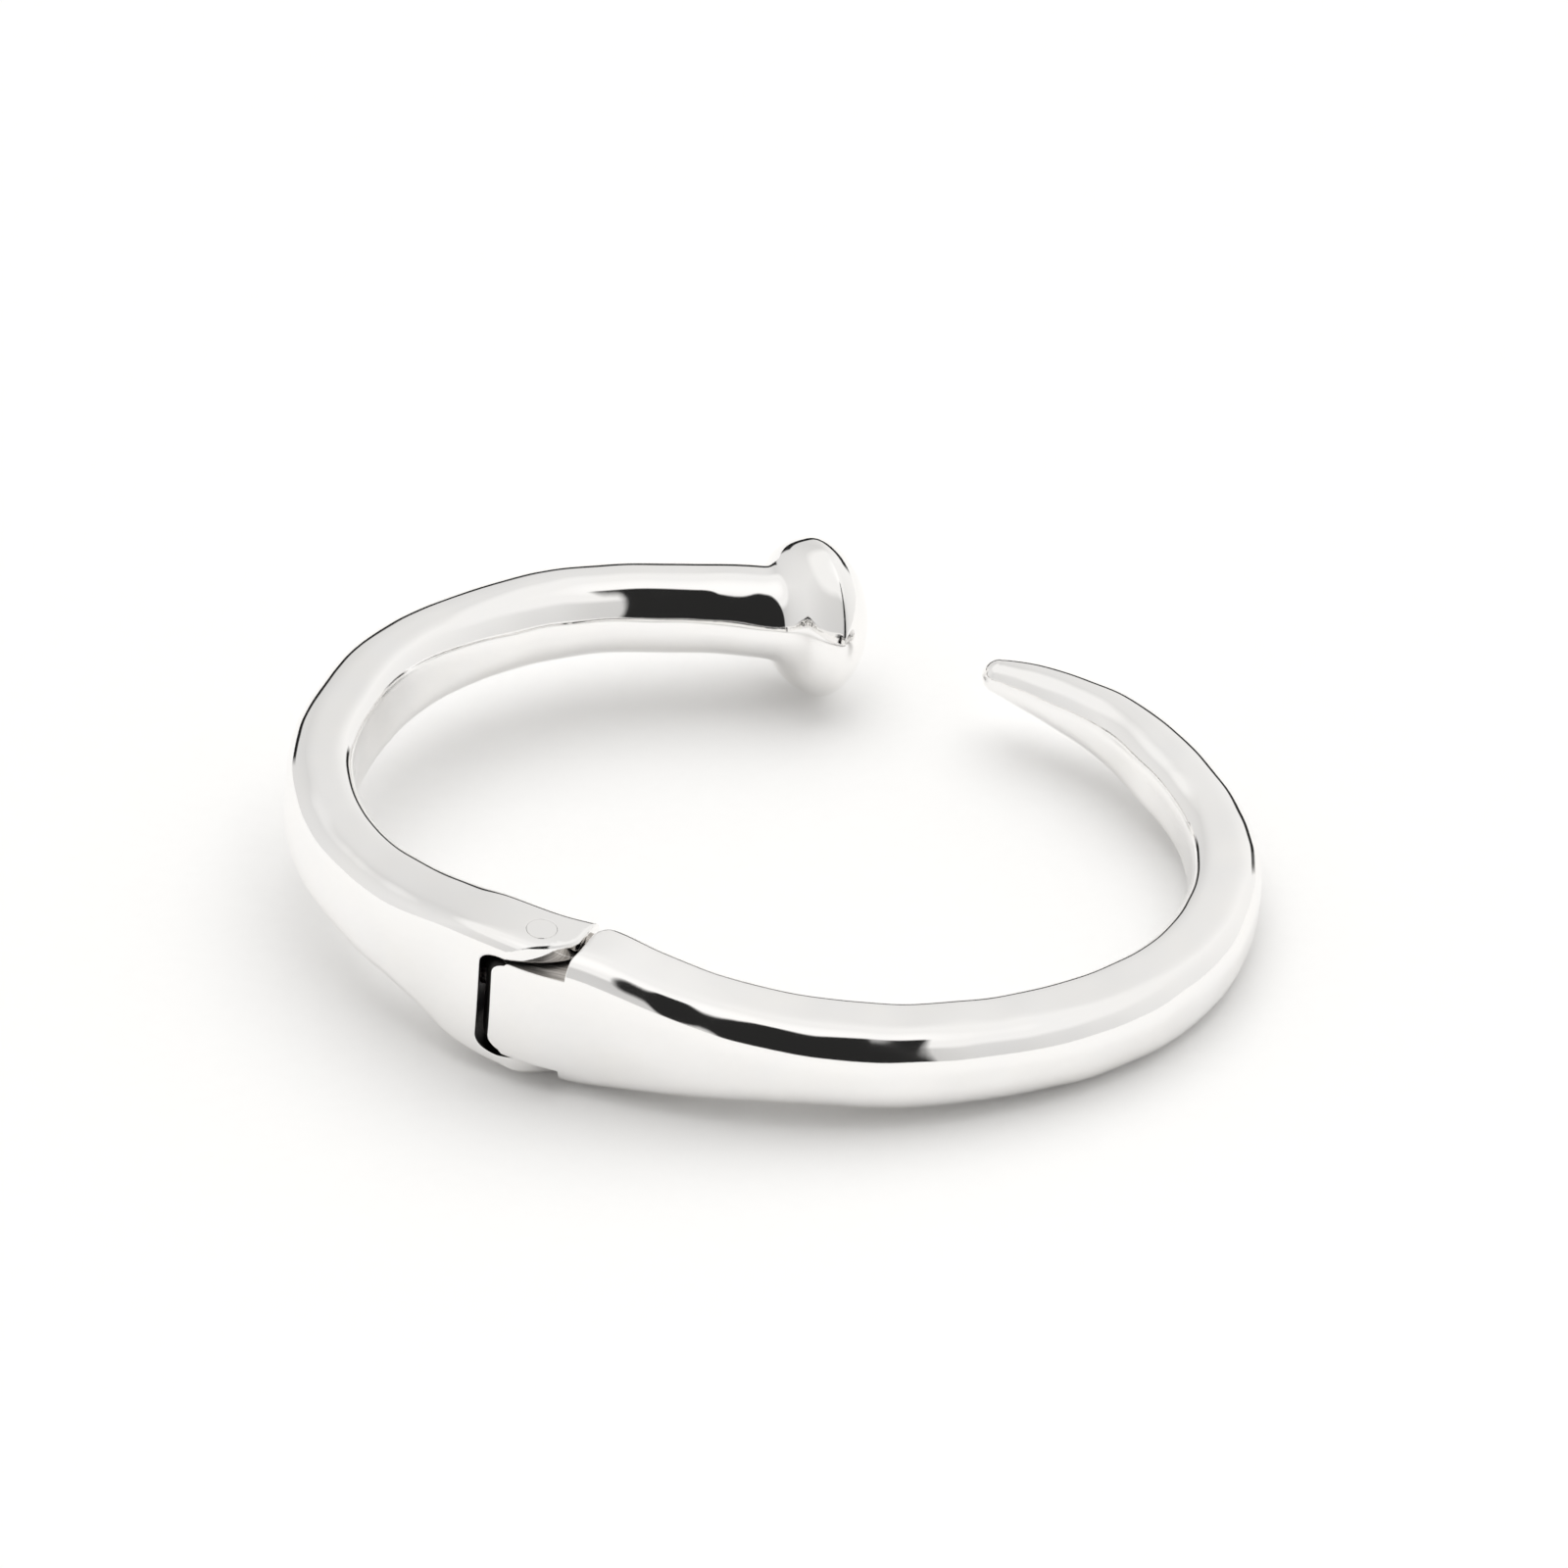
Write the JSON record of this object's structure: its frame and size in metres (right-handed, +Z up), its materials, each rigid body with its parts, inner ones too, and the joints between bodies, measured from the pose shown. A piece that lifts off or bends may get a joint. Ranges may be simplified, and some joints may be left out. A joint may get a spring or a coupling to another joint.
{
  "type": "hinged nail bangle",
  "caption": "Open oval bangle shaped like a bent nail, with a domed nail head, a tapered point and a sprung knuckle hinge that lets the point arm swing outward.",
  "frame": {"origin": "on the plane the bangle lies on, under the middle of its outline when closed", "axes": "+Z up along the hinge's axis, +X along the long way of the oval from the head arm's side to the point arm's side, +Y from the hinge's side to the nail head's side"},
  "size_m": [0.0702, 0.0588, 0.0119],
  "materials": {
    "head_arm_silver": "mirror polished",
    "point_arm_silver": "mirror polished",
    "pin_steel": "polished flush with the ears",
    "plunger_steel": "ground",
    "spring_steel": "drawn wire"
  },
  "bodies": {
    "head_arm": {"head_arm": "head_arm_silver", "hinge_pin": "pin_steel", "return_spring": "spring_steel"},
    "point_arm": {"point_arm": "point_arm_silver"},
    "plunger": {"plunger": "plunger_steel"}
  },
  "joints": [
    {"name": "opening", "type": "hinge", "parent": "head_arm", "child": "point_arm", "pos_m": [-0.01108, -0.02564, 0.00595], "axis": [0, 0, -1], "range_deg": [0, 40], "stiffness_Nm_per_rad": 0.00603, "springref_deg": -85.71},
    {"name": "plunger_travel", "type": "slide", "parent": "head_arm", "child": "plunger", "axis": [-0.914, 0.4056, 0], "range_m": [0, 0.0007], "deforming": ["return_spring"]}
  ],
  "couplings": [
    {"joint": "plunger_travel", "follows": "opening", "m_per_rad": 0.0010027}
  ]
}
